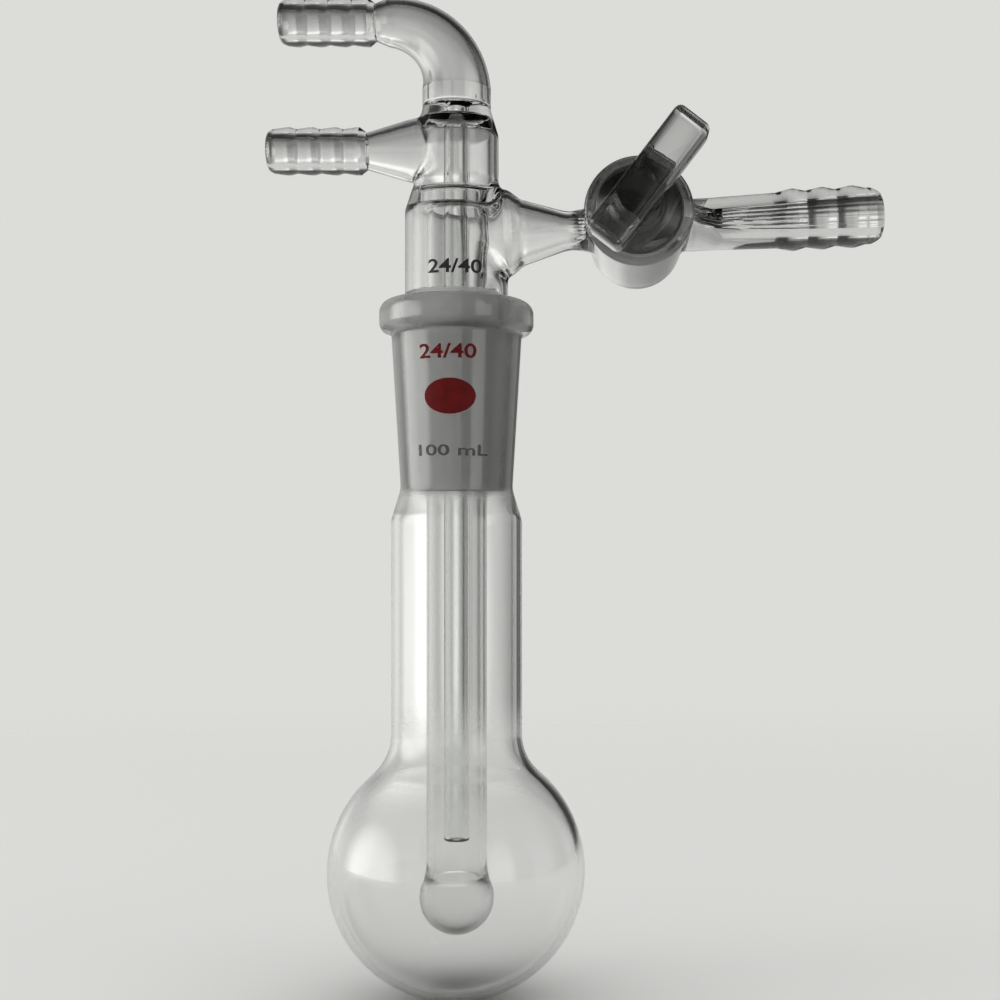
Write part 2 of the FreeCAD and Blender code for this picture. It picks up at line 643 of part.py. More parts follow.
# Vacuum tube with its serrated end, measured from the stopcock's middle.
vacuum_arm = new_body("vacuum_arm")
turned(
    vacuum_arm,
    "vacuum_arm",
    [
        ("0", PLUG_MIDDLE + " + 0.8", None),
        ("Sizes.vacuum_radius", PLUG_MIDDLE + " + 0.8", None),
        ("Sizes.vacuum_radius", "Sizes.vacuum_neck - 10", None),
        ("Sizes.vacuum_swell", "Sizes.vacuum_neck", None),
        ("Sizes.vacuum_crest", "Sizes.vacuum_neck + Sizes.vacuum_rise", None),
        ("Sizes.vacuum_crest", "Sizes.vacuum_neck + Sizes.vacuum_rise + Sizes.vacuum_land", None),
        ("Sizes.vacuum_root", "Sizes.vacuum_neck + Sizes.vacuum_rise + Sizes.vacuum_pitch / 2", None),
        ("Sizes.vacuum_crest", "Sizes.vacuum_neck + Sizes.vacuum_rise + Sizes.vacuum_pitch", None),
        (
            "Sizes.vacuum_crest",
            "Sizes.vacuum_neck + Sizes.vacuum_rise + Sizes.vacuum_pitch + Sizes.vacuum_land",
            None,
        ),
        ("Sizes.vacuum_root", "Sizes.vacuum_neck + Sizes.vacuum_rise + 1.5 * Sizes.vacuum_pitch", None),
        ("Sizes.vacuum_crest", "Sizes.vacuum_neck + Sizes.vacuum_rise + 2 * Sizes.vacuum_pitch", None),
        (
            "Sizes.vacuum_crest",
            "Sizes.vacuum_neck + Sizes.vacuum_rise + 2 * Sizes.vacuum_pitch + Sizes.vacuum_land",
            None,
        ),
        ("Sizes.vacuum_radius", "Sizes.vacuum_reach - 2.2", None),
        ("Sizes.vacuum_tip", "Sizes.vacuum_reach", None),
        ("0", "Sizes.vacuum_reach", None),
    ],
    True,
)
vacuum_bore = new_body("vacuum_bore")
turned(
    vacuum_bore,
    "vacuum_bore",
    [
        ("0", PLUG_MIDDLE + " - 1.5", None),
        ("Sizes.port_radius", PLUG_MIDDLE + " - 1.5", None),
        ("Sizes.port_radius", PLUG_MIDDLE + " + 2.5", None),
        ("Sizes.vacuum_bore", PLUG_MIDDLE + " + 4.5", None),
        ("Sizes.vacuum_bore", "Sizes.vacuum_reach + 1", None),
        ("0", "Sizes.vacuum_reach + 1", None),
    ],
    True,
)
for body in (vacuum_arm, vacuum_bore):
    facing(
        body,
        357,
        "360 - Sizes.vacuum_tilt",
        Placement__Base__x="Sizes.barrel_reach",
        Placement__Base__z="Sizes.barrel_height",
    )


def across(body, formula):
    """Lay a body's Z axis along -Y, through the stopcock's middle, starting at the formula's Y."""
    body.Placement = FreeCAD.Placement(FreeCAD.Vector(), FreeCAD.Rotation(FreeCAD.Vector(1, 0, 0), 90))
    bind(
        body,
        Placement__Base__x="Sizes.barrel_reach",
        Placement__Base__y=formula,
        Placement__Base__z="Sizes.barrel_height",
    )
    doc.recompute()


# Stopcock's barrel, fused between the two arms, and its ground bore.
barrel = new_body("barrel")
turned(
    barrel,
    "barrel",
    [
        ("0", "0", None),
        ("Sizes.barrel_far_radius", "0", "Sizes.barrel_round"),
        ("Sizes.barrel_near_radius", "Sizes.barrel_length", "Sizes.barrel_round"),
        ("0", "Sizes.barrel_length", None),
    ],
    False,
)
across(barrel, "Sizes.barrel_length / 2")
barrel_bore = new_body("barrel_bore")
turned(
    barrel_bore,
    "barrel_bore",
    [
        ("0", "0", None),
        ("Sizes.plug_small / 2 - Sizes.plug_taper", "0", None),
        (
            "Sizes.plug_small / 2 + Sizes.plug_taper * (Sizes.barrel_length + 2) / 2",
            "Sizes.barrel_length + 4",
            None,
        ),
        ("0", "Sizes.barrel_length + 4", None),
    ],
    False,
)
across(barrel_bore, "Sizes.barrel_length / 2 + 2")

head_solid = joined(
    "Part::Fuse",
    "head_solid",
    core,
    [bend_outside, upper_hose, lower_hose, side_arm, vacuum_arm, barrel],
)
gas_way = joined("Part::Fuse", "gas_way", vapour_space, [side_arm_way, barrel_bore, vacuum_bore])
water_way = joined(
    "Part::Fuse",
    "water_way",
    water_space,
    [lower_hose_bore, inlet_space, bend_inside, upper_hose_bore],
)
head = joined("Part::Cut", "condenser_head", head_solid, [water_way, gas_way])

# Stopcock plug: one piece of glass with its stem and flat handle, and the bore through it.
BARREL_FOOT = "Sizes.plug_tail"
plug_key = new_body("plug_key")
turned(
    plug_key,
    "plug_key",
    [
        ("0", "0", None),
        ("Sizes.tail_radius", "0", "0.5"),
        ("Sizes.tail_radius", "Sizes.groove_start", None),
        ("Sizes.groove_radius", "Sizes.groove_start", None),
        ("Sizes.groove_radius", "Sizes.groove_start + Sizes.groove_width", None),
        ("Sizes.tail_radius", "Sizes.groove_start + Sizes.groove_width", None),
        ("Sizes.tail_radius", BARREL_FOOT + " + 0.4", None),
        ("Sizes.plug_small / 2 + 0.2 * Sizes.plug_taper - Sizes.plug_gap", BARREL_FOOT + " + 0.4", None),
        (
            "(Sizes.plug_small + Sizes.plug_taper * (Sizes.barrel_length + Sizes.plug_stand)) / 2 - Sizes.plug_gap",
            BARREL_FOOT + " + Sizes.barrel_length + Sizes.plug_stand",
            "1",
        ),
        ("Sizes.stem_radius", BARREL_FOOT + " + Sizes.barrel_length + Sizes.plug_stand + 2.4", "Sizes.stem_round"),
        (
            "Sizes.stem_radius",
            BARREL_FOOT + " + Sizes.barrel_length + Sizes.handle_front - Sizes.handle_depth + 1",
            None,
        ),
        ("0", BARREL_FOOT + " + Sizes.barrel_length + Sizes.handle_front - Sizes.handle_depth + 1", None),
    ],
    False,
)
across(plug_key, "Sizes.barrel_length / 2 + Sizes.plug_tail")

handle_bar = doc.addObject("Part::Box", "handle_bar")
handle_bar.Placement = FreeCAD.Placement(FreeCAD.Vector(), FreeCAD.Rotation(FreeCAD.Vector(0, -1, 0), 55))
bind(
    handle_bar,
    Length="Sizes.handle_length",
    Width="Sizes.handle_depth",
    Height="Sizes.handle_width",
    Placement__Rotation__Angle="Sizes.handle_angle",
    Placement__Base__x="Sizes.barrel_reach + sin(Sizes.handle_angle) * Sizes.handle_width / 2"
    " - cos(Sizes.handle_angle) * (Sizes.handle_length / 2 - Sizes.handle_offset)",
    Placement__Base__y="-Sizes.barrel_length / 2 - Sizes.handle_front",
    Placement__Base__z="Sizes.barrel_height - cos(Sizes.handle_angle) * Sizes.handle_width / 2"
    " - sin(Sizes.handle_angle) * (Sizes.handle_length / 2 - Sizes.handle_offset)",
)
doc.recompute()
handle = doc.addObject("Part::Fillet", "handle")
handle.Base = handle_bar
edge_round = sheet.get("handle_round")
handle.Edges = [(number, edge_round, edge_round) for number in range(1, 13)]
doc.recompute()
plug_solid = joined("Part::Fuse", "plug_solid", plug_key, [handle])
plug_way = doc.addObject("Part::Cylinder", "plug_way")
plug_way.Placement = FreeCAD.Placement(FreeCAD.Vector(), FreeCAD.Rotation(FreeCAD.Vector(0, 1, 0), 35))
bind(
    plug_way,
    Radius="Sizes.port_radius",
    Height="2 * Sizes.plug_small",
    Placement__Rotation__Angle="90 - Sizes.handle_angle",
    Placement__Base__x="Sizes.barrel_reach - cos(Sizes.handle_angle) * Sizes.plug_small",
    Placement__Base__z="Sizes.barrel_height - sin(Sizes.handle_angle) * Sizes.plug_small",
)
doc.recompute()
plug = joined("Part::Cut", "stopcock_plug", plug_solid, [plug_way])

# Washer and rubber ring that keep the plug in its barrel, on the side away from the handle.
washer = new_body("plug_washer")
WASHER_TOP = BARREL_FOOT + " - Sizes.washer_play"
turned(
    washer,
    "plug_washer",
    [
        ("Sizes.tail_radius + Sizes.washer_play", WASHER_TOP + " - Sizes.washer_thick", None),
        ("Sizes.washer_radius", WASHER_TOP + " - Sizes.washer_thick", "0.3"),
        ("Sizes.washer_radius", WASHER_TOP, "0.3"),
        ("Sizes.tail_radius + Sizes.washer_play", WASHER_TOP, None),
    ],
    False,
)
across(washer, "Sizes.barrel_length / 2 + Sizes.plug_tail")
ring = doc.addObject("Part::Torus", "plug_retaining_ring")
ring.Placement = FreeCAD.Placement(FreeCAD.Vector(), FreeCAD.Rotation(FreeCAD.Vector(1, 0, 0), 90))
bind(
    ring,
    Radius1="Sizes.groove_radius + Sizes.ring_play + Sizes.ring_section",
    Radius2="Sizes.ring_section",
    Placement__Base__x="Sizes.barrel_reach",
    Placement__Base__y="Sizes.barrel_length / 2 + Sizes.plug_tail - Sizes.groove_start - Sizes.groove_width / 2",
    Placement__Base__z="Sizes.barrel_height",
)
doc.recompute()

# Lower every finished piece so that the origin is in the middle of the neck.
nodes = [flask, head, plug, washer, ring]
for piece in (flask, head, plug):
    bind(piece, Placement__Base__z="-Sizes.clamp_height")
for piece in (washer, ring):
    bind(piece, Placement__Base__z="Sizes.barrel_height - Sizes.clamp_height")
doc.recompute()

for item in doc.Objects:
    if "Invalid" in item.State or "Error" in item.State:
        sys.exit("%s: %s" % (item.Label, item.State))
for piece in nodes:
    if piece.Shape.isNull() or not piece.Shape.isValid() or len(piece.Shape.Solids) != 1:
        sys.exit("%s: bad shape with %d solids" % (piece.Label, len(piece.Shape.Solids)))
os.makedirs("parts", exist_ok=True)
for piece in nodes:
    piece.Shape.exportStep("parts/%s.step" % piece.Label)
    box = piece.Shape.BoundBox
    print(
        "%s: %.0f mm3, x %.1f..%.1f, y %.1f..%.1f, z %.1f..%.1f"
        % (piece.Label, piece.Shape.Volume, box.XMin, box.XMax, box.YMin, box.YMax, box.ZMin, box.ZMax)
    )
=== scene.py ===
import math

import bmesh
import bpy
from mathutils import Matrix, Vector
from mathutils.kdtree import KDTree


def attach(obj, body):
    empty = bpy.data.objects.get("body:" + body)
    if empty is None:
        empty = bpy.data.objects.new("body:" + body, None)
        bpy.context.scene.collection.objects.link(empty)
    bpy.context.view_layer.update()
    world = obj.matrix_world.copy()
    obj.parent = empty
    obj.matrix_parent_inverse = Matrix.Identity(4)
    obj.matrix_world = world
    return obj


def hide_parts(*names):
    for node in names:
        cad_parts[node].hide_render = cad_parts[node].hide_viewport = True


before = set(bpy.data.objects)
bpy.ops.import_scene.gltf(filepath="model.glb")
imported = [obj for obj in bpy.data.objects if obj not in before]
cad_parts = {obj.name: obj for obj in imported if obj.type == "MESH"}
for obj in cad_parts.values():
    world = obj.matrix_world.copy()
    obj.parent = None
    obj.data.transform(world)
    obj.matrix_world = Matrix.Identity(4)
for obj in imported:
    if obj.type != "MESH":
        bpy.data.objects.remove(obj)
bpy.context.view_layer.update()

# Camera: level, at the height of the neck and in front of the gap beside it, 35 cm from the glass,
# as the photograph was taken. The shifts keep the tubes upright and the object in the frame.
camera = bpy.data.objects.new("camera", bpy.data.cameras.new("camera"))
camera.location = (0.0320, -0.350, 0.0110)
camera.rotation_euler = (math.radians(90), 0, 0)
camera.data.lens = 57.3
camera.data.sensor_width = 36
camera.data.shift_x = -0.1023
camera.data.shift_y = 0.08
bpy.context.scene.collection.objects.link(camera)
bpy.context.scene.camera = camera


# Flask: one piece of blown borosilicate glass, a bulb and neck with the ground outer joint and
# its reinforcing bead. It is turned from one outline, down the outside and back up the inside.
# Lengths are in millimetres from the bulb's lowest point, CLAMP_HEIGHT under the clamp at the origin.
CLAMP_HEIGHT = 81
TO_FRAME = Matrix.Translation((0, 0, -CLAMP_HEIGHT / 1000))


def rounded_outline(corners, fine=(), pitch=0.7):
    """The turned outline through (radius, height, rounding) corners, with extra rings in the fine spans."""
    points = []
    for k, (radius, height, rounding) in enumerate(corners):
        here = Vector((radius, height))
        if not rounding:
            points.append(here)
            continue
        back = (Vector(corners[k - 1][:2]) - here).normalized()
        ahead = (Vector(corners[(k + 1) % len(corners)][:2]) - here).normalized()
        half = back.angle(ahead) / 2
        centre = here + (back + ahead).normalized() * (rounding / math.sin(half))
        first = here + back * (rounding / math.tan(half)) - centre
        last = here + ahead * (rounding / math.tan(half)) - centre
        sweep = first.angle_signed(last)
        steps = max(3, math.ceil(abs(sweep) / math.radians(9)))
        for step in range(steps + 1):
            turn = -sweep * step / steps
            points.append(centre + Vector((first.x * math.cos(turn) - first.y * math.sin(turn),
                                           first.x * math.sin(turn) + first.y * math.cos(turn))))
    ringed = [points[0]]
    for here, there in zip(points, points[1:]):
        middle = (here.y + there.y) / 2
        close = any(low - 1 < middle < high + 1 or min(here.y, there.y) < low < high < max(here.y, there.y)
                    for low, high in fine)
        count = math.ceil((there - here).length / pitch) if close else 1
        ringed.extend(here.lerp(there, step / count) for step in range(1, count + 1))
    return ringed


def ball_outline(radius, height, start, end):
    """Points of a ball's outline between two angles in degrees, counted up from its lowest point."""
    count = max(4, math.ceil(abs(end - start) / 4))
    turns = [math.radians(start + (end - start) * step / count) for step in range(count + 1)]
    return [Vector((radius * math.sin(turn), height - radius * math.cos(turn))) for turn in turns]


def tree_tools(tree):
    """Short ways to add a node to a tree, to add a sum to it and to link two of its sockets."""
    link = tree.links.new

    def node(kind, **settings):
        made = tree.nodes.new(kind)
        for key, value in settings.items():
            setattr(made, key, value)
        return made

    def sum_of(operation, a, b=None):
        made = node("ShaderNodeMath", operation=operation)
        for socket, value in zip(made.inputs, (a, b)):
            if value is None:
                continue
            if isinstance(value, (int, float)):
                socket.default_value = value
            else:
                link(value, socket)
        return made.outputs[0]

    return node, sum_of, link


def turning_tree():
    """Geometry Nodes that turn an outline, drawn as a line of points in the XZ plane, about Z."""
    tree = bpy.data.node_groups.new("turned_glass", "GeometryNodeTree")
    face = tree.interface
    face.new_socket("Outline", in_out="INPUT", socket_type="NodeSocketGeometry")
    face.new_socket("Segments", in_out="INPUT", socket_type="NodeSocketInt").default_value = 128
    crease = face.new_socket("Crease Angle", in_out="INPUT", socket_type="NodeSocketFloat")
    crease.default_value = math.radians(32)
    face.new_socket("Glass", in_out="INPUT", socket_type="NodeSocketMaterial")
    face.new_socket("Turned", in_out="OUTPUT", socket_type="NodeSocketGeometry")
    node, sum_of, link = tree_tools(tree)

    given = node("NodeGroupInput").outputs
    count = node("GeometryNodeAttributeDomainSize", component="MESH")
    link(given["Outline"], count.inputs[0])
    columns = sum_of("ADD", given["Segments"], 1)
    grid = node("GeometryNodeMeshGrid")
    link(count.outputs["Point Count"], grid.inputs["Vertices X"])
    link(columns, grid.inputs["Vertices Y"])
    index = node("GeometryNodeInputIndex").outputs[0]
    ring = sum_of("FLOOR", sum_of("DIVIDE", sum_of("ADD", index, 0.5), columns))
    turn = sum_of("MULTIPLY", sum_of("DIVIDE", sum_of("SUBTRACT", index, sum_of("MULTIPLY", ring, columns)),
                                     given["Segments"]), 2 * math.pi)
    point = node("GeometryNodeSampleIndex", data_type="FLOAT_VECTOR", domain="POINT")
    link(given["Outline"], point.inputs["Geometry"])
    link(node("GeometryNodeInputPosition").outputs[0], point.inputs["Value"])
    link(ring, point.inputs["Index"])
    split = node("ShaderNodeSeparateXYZ")
    link(point.outputs[0], split.inputs[0])
    placed = node("ShaderNodeCombineXYZ")
    link(sum_of("MULTIPLY", split.outputs[0], sum_of("COSINE", turn)), placed.inputs[0])
    link(sum_of("MULTIPLY", split.outputs[0], sum_of("SINE", turn)), placed.inputs[1])
    link(split.outputs[2], placed.inputs[2])
    move = node("GeometryNodeSetPosition")
    link(grid.outputs["Mesh"], move.inputs["Geometry"])
    link(placed.outputs[0], move.inputs["Position"])
    weld = node("GeometryNodeMergeByDistance")
    weld.inputs["Distance"].default_value = 1e-6
    link(move.outputs[0], weld.inputs["Geometry"])
    smooth = node("GeometryNodeSetShadeSmooth", domain="FACE")
    link(weld.outputs[0], smooth.inputs["Geometry"])
    angle = node("GeometryNodeInputMeshEdgeAngle")
    creased = node("GeometryNodeSetShadeSmooth", domain="EDGE")
    link(smooth.outputs[0], creased.inputs["Geometry"])
    gentle = sum_of("LESS_THAN", angle.outputs["Unsigned Angle"], given["Crease Angle"])
    link(gentle, creased.inputs["Shade Smooth"])
    real = node("GeometryNodeRealizeInstances")
    link(creased.outputs[0], real.inputs[0])
    painted = node("GeometryNodeSetMaterial")
    link(real.outputs[0], painted.inputs["Geometry"])
    link(given["Glass"], painted.inputs["Material"])
    link(painted.outputs[0], node("NodeGroupOutput").inputs[0])
    return tree


def grown(name, mesh, tree, inputs):
    """The plain mesh that a node tree makes from a mesh, with the tree's inputs set by their names."""
    source = bpy.data.objects.new(name, mesh)
    bpy.context.scene.collection.objects.link(source)
    modifier = source.modifiers.new("shape", "NODES")
    modifier.node_group = tree
    for item in tree.interface.items_tree:
        if item.in_out == "INPUT" and item.name in inputs:
            modifier[item.identifier] = inputs[item.name]
    source.update_tag()
    bpy.context.view_layer.update()
    evaluated = source.evaluated_get(bpy.context.evaluated_depsgraph_get())
    made = bpy.data.meshes.new_from_object(evaluated)
    made.name = name
    bpy.data.objects.remove(source)
    return made


LATHE = turning_tree()


def turned(name, outline, segments=128, glass=None):
    """A mesh in metres, turned about Z from an outline in millimetres."""
    line = bpy.data.meshes.new(name + "_outline")
    points = [(p.x / 1000, 0, p.y / 1000) for p in outline]
    line.from_pydata(points, [(k, k + 1) for k in range(len(points) - 1)], [])
    inputs = {"Segments": segments}
    if glass:
        inputs["Glass"] = glass
    return grown(name, line, LATHE, inputs)


def facing_out(mesh):
    """Turn a closed mesh's faces outwards."""
    work = bmesh.new()
    work.from_mesh(mesh)
    bmesh.ops.recalc_face_normals(work, faces=work.faces)
    if work.calc_volume(signed=True) < 0:
        bmesh.ops.reverse_faces(work, faces=work.faces)
    work.to_mesh(mesh)
    work.free()
    return mesh


def glass_material(name, ground_tint, ground_rough, grey, ripple):
    """Blown glass that looks grey where it is thick. The mesh's "ground" attribute marks ground surfaces."""
    made = bpy.data.materials.new(name)
    made.use_nodes = True
    nodes, link = made.node_tree.nodes, made.node_tree.links.new
    shader = nodes["Principled BSDF"]
    shader.inputs["IOR"].default_value = 1.473
    shader.inputs["Transmission Weight"].default_value = 1
    ground = nodes.new("ShaderNodeAttribute")
    ground.attribute_name = "ground"
    place = nodes.new("ShaderNodeTexCoord")
    grit = nodes.new("ShaderNodeTexNoise")
    grit.inputs["Scale"].default_value = 2600
    grit.inputs["Detail"].default_value = 3
    link(place.outputs["Object"], grit.inputs["Vector"])
    tint = nodes.new("ShaderNodeMix")
    tint.data_type = "RGBA"
    tint.inputs["A"].default_value = (0.985, 0.988, 0.985, 1)
    tint.inputs["B"].default_value = (*ground_tint, 1)
    link(ground.outputs["Fac"], tint.inputs["Factor"])
    link(tint.outputs["Result"], shader.inputs["Base Color"])
    rough = nodes.new("ShaderNodeMapRange")
    rough.inputs["To Max"].default_value = ground_rough
    link(ground.outputs["Fac"], rough.inputs["Value"])
    link(rough.outputs["Result"], shader.inputs["Roughness"])
    wave = nodes.new("ShaderNodeTexNoise")
    wave.inputs["Scale"].default_value = 95
    wave.inputs["Detail"].default_value = 1
    link(place.outputs["Object"], wave.inputs["Vector"])
    height = nodes.new("ShaderNodeMix")
    link(ground.outputs["Fac"], height.inputs["Factor"])
    link(wave.outputs["Fac"], height.inputs["A"])
    link(grit.outputs["Fac"], height.inputs["B"])
    relief = nodes.new("ShaderNodeBump")
    relief.inputs["Strength"].default_value = ripple
    relief.inputs["Distance"].default_value = 0.0002
    link(height.outputs["Result"], relief.inputs["Height"])
    link(relief.outputs["Normal"], shader.inputs["Normal"])
    inside = nodes.new("ShaderNodeVolumeAbsorption")
    inside.inputs["Color"].default_value = (0.5, 0.505, 0.495, 1)
    inside.inputs["Density"].default_value = grey
    link(inside.outputs["Volume"], nodes["Material Output"].inputs["Volume"])
    return made


def mark_ground(mesh, share):
    """Write how ground the glass is at each point, from its place in millimetres above the bulb's foot."""
    ground = mesh.attributes.get("ground") or mesh.attributes.new("ground", "FLOAT", "POINT")
    for vertex in mesh.vertices:
        place = Vector((vertex.co.x * 1000, vertex.co.y * 1000, vertex.co.z * 1000 + CLAMP_HEIGHT))
        ground.data[vertex.index].value = share(place)


def shown(name, mesh, node, body):
    """Put a finished mesh in place of its CAD node."""
    piece = bpy.data.objects.new(name, mesh)
    bpy.context.scene.collection.objects.link(piece)
    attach(piece, body)
    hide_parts(node)


blown_glass = glass_material(
    "blown_glass", ground_tint=(0.97, 0.97, 0.965), ground_rough=0.5, grey=50, ripple=0.05)
BULB, WALL, NECK = 28.2, 1.6, 14.35
JOINT_FOOT, JOINT_FOOT_UP = 12.25, 112
JOINT_HEAD, JOINT_HEAD_UP = 14.25, 145.6
BEAD = 16.9


def bulb_and_neck(bulb, neck, blend):
    """Outline from the bulb's lowest point to the neck, with the blown rounding between them."""
    out = neck + blend
    rise = math.sqrt((bulb + blend) ** 2 - out ** 2)
    points = ball_outline(bulb, BULB, 0, 180 - math.degrees(math.atan2(out, rise)))
    start = math.atan2(rise, out)
    for step in range(1, 13):
        turn = start * (1 - step / 12)
        points.append(Vector((out - blend * math.cos(turn), BULB + rise - blend * math.sin(turn))))
    return points


outside = bulb_and_neck(BULB, NECK, 11) + rounded_outline([
    (NECK, 60, None), (NECK, 105, 6), (JOINT_FOOT, JOINT_FOOT_UP, 6), (JOINT_HEAD, JOINT_HEAD_UP, 0.9),
    (BEAD, 146.2, 2.6), (BEAD, 153, 2.6), (12.7, 153, None)])
inside = bulb_and_neck(BULB - WALL, NECK - WALL, 11 + WALL) + rounded_outline([
    (NECK - WALL, 60, None), (NECK - WALL, 105.5, 4.4), (10, 113, None), (11.965, 152.3, None),
    (12.7, 153, None)])
flask_mesh = facing_out(turned("flask_glass", outside + inside[-2::-1], 160, blown_glass))
flask_mesh.transform(TO_FRAME)
mark_ground(flask_mesh, lambda p: 1.0 if 112.9 < p.z < 152.4 and math.hypot(p.x, p.y) < 12.05 else 0.0)
shown("flask_glass", flask_mesh, "flask", "glass_body")


# Head: one piece of flame-worked glass. The ground inner joint, vapour tube, water chamber and
# cold finger are turned, the bend is drawn, and the arms are fused on before the ways are opened.
BALL, BALL_INSIDE, BALL_UP = 8.15, 6.85, 22.3
LIP = 110.8
MALE_FOOT, MALE_HEAD = 9.84, 11.99
VAPOUR_TUBE = 11.3
LOWER_HOSE = 186.2
BEND_FOOT, BEND_SWEEP, UPPER_HOSE = 199.8, 14.7, 214.5
COCK = (39.7, 0, 169.4)
BARREL_HALF = 17.25


def facing(mesh, start, direction):
    """Lay a mesh that is turned about Z along a direction, from a start in millimetres."""
    turn = Vector(direction).to_track_quat("Z", "Y").to_matrix().to_4x4()
    mesh.transform(Matrix.Translation(Vector(start) / 1000) @ turn)
    return mesh


def serrated_tree():
    """Geometry Nodes for a solid hose connection: rings that repeat along a tube which ends in a tip."""
    tree = bpy.data.node_groups.new("serrated_hose_end", "GeometryNodeTree")
    face = tree.interface
    for name, kind in (("Steps", "Int"), ("Segments", "Int"), ("Foot", "Float"), ("Foot Radius", "Float"),
                       ("Cone Start", "Float"), ("Start", "Float"), ("Neck", "Float"), ("Rings", "Float"),
                       ("Pitch", "Float"), ("Rise", "Float"), ("Land", "Float"), ("Root", "Float"),
                       ("Crest", "Float"), ("Tip Start", "Float"), ("Tip Radius", "Float"),
                       ("Reach", "Float"), ("Glass", "Material")):
        face.new_socket(name, in_out="INPUT", socket_type="NodeSocket" + kind)
    face.new_socket("Solid", in_out="OUTPUT", socket_type="NodeSocketGeometry")
    node, sum_of, link = tree_tools(tree)

    def ramp(value, low, high, start, end):
        made = node("ShaderNodeMapRange", clamp=True)
        for socket, given_value in zip(made.inputs, (value, low, high, start, end)):
            if isinstance(given_value, (int, float)):
                socket.default_value = given_value
            else:
                link(given_value, socket)
        return made.outputs[0]

    given = node("NodeGroupInput").outputs
    columns = sum_of("ADD", given["Segments"], 1)
    grid = node("GeometryNodeMeshGrid")
    link(sum_of("ADD", given["Steps"], 3), grid.inputs["Vertices X"])
    link(columns, grid.inputs["Vertices Y"])
    index = node("GeometryNodeInputIndex").outputs[0]
    ring = sum_of("FLOOR", sum_of("DIVIDE", sum_of("ADD", index, 0.5), columns))
    turn = sum_of("MULTIPLY", sum_of("DIVIDE", sum_of("SUBTRACT", index, sum_of("MULTIPLY", ring, columns)),
                                     given["Segments"]), 2 * math.pi)
    along = ramp(ring, 1, sum_of("ADD", given["Steps"], 1), given["Foot"], given["Reach"])
    past = sum_of("SUBTRACT", along, given["Start"])
    place = sum_of("FLOORED_MODULO", past, given["Pitch"])
    depth = sum_of("SUBTRACT", given["Crest"], given["Root"])
    up = ramp(place, 0, given["Rise"], 0, depth)
    down = ramp(place, sum_of("ADD", given["Rise"], given["Land"]), given["Pitch"], 0, depth)
    on_rings = sum_of("MULTIPLY", sum_of("GREATER_THAN", past, 0),
                      sum_of("LESS_THAN", past, sum_of("MULTIPLY", given["Rings"], given["Pitch"])))
    rings = sum_of("MULTIPLY", on_rings, sum_of("SUBTRACT", up, down))
    plain = ramp(along, given["Cone Start"], given["Start"], given["Foot Radius"], given["Neck"])
    growth = sum_of("SUBTRACT", given["Root"], given["Neck"])
    plain = sum_of("ADD", plain, ramp(past, 0, given["Rise"], 0, growth))
    tip = ramp(along, given["Tip Start"], given["Reach"], 1, 0)
    tip = sum_of("ADD", given["Tip Radius"], sum_of(
        "MULTIPLY", sum_of("SQRT", tip), sum_of("SUBTRACT", given["Crest"], given["Tip Radius"])))
    tip = sum_of("ADD", tip, sum_of("LESS_THAN", along, given["Tip Start"]))
    radius = sum_of("MINIMUM", sum_of("ADD", plain, rings), tip)
    closed = sum_of("MULTIPLY", sum_of("GREATER_THAN", ring, 0.5),
                    sum_of("LESS_THAN", ring, sum_of("ADD", given["Steps"], 1.5)))
    radius = sum_of("MULTIPLY", radius, closed)
    placed = node("ShaderNodeCombineXYZ")
    link(sum_of("MULTIPLY", radius, sum_of("COSINE", turn)), placed.inputs[0])
    link(sum_of("MULTIPLY", radius, sum_of("SINE", turn)), placed.inputs[1])
    link(along, placed.inputs[2])
    move = node("GeometryNodeSetPosition")
    link(grid.outputs["Mesh"], move.inputs["Geometry"])
    link(placed.outputs[0], move.inputs["Position"])
    weld = node("GeometryNodeMergeByDistance")
    weld.inputs["Distance"].default_value = 1e-6
    link(move.outputs[0], weld.inputs["Geometry"])
    real = node("GeometryNodeRealizeInstances")
    link(weld.outputs[0], real.inputs[0])
    painted = node("GeometryNodeSetMaterial")
    link(real.outputs[0], painted.inputs["Geometry"])
    link(given["Glass"], painted.inputs["Material"])
    link(painted.outputs[0], node("NodeGroupOutput").inputs[0])
    return tree


SERRATED = serrated_tree()


def hose_end(name, **sizes):
    """A solid serrated hose connection along Z, with its sizes in millimetres."""
    inputs = {"Glass": blown_glass, "Segments": 64}
    inputs["Steps"] = sizes.pop("steps")
    inputs["Rings"] = float(sizes.pop("rings"))
    for key, value in sizes.items():
        inputs[key.replace("_", " ").title()] = value / 1000
    return grown(name, bpy.data.meshes.new(name), SERRATED, inputs)


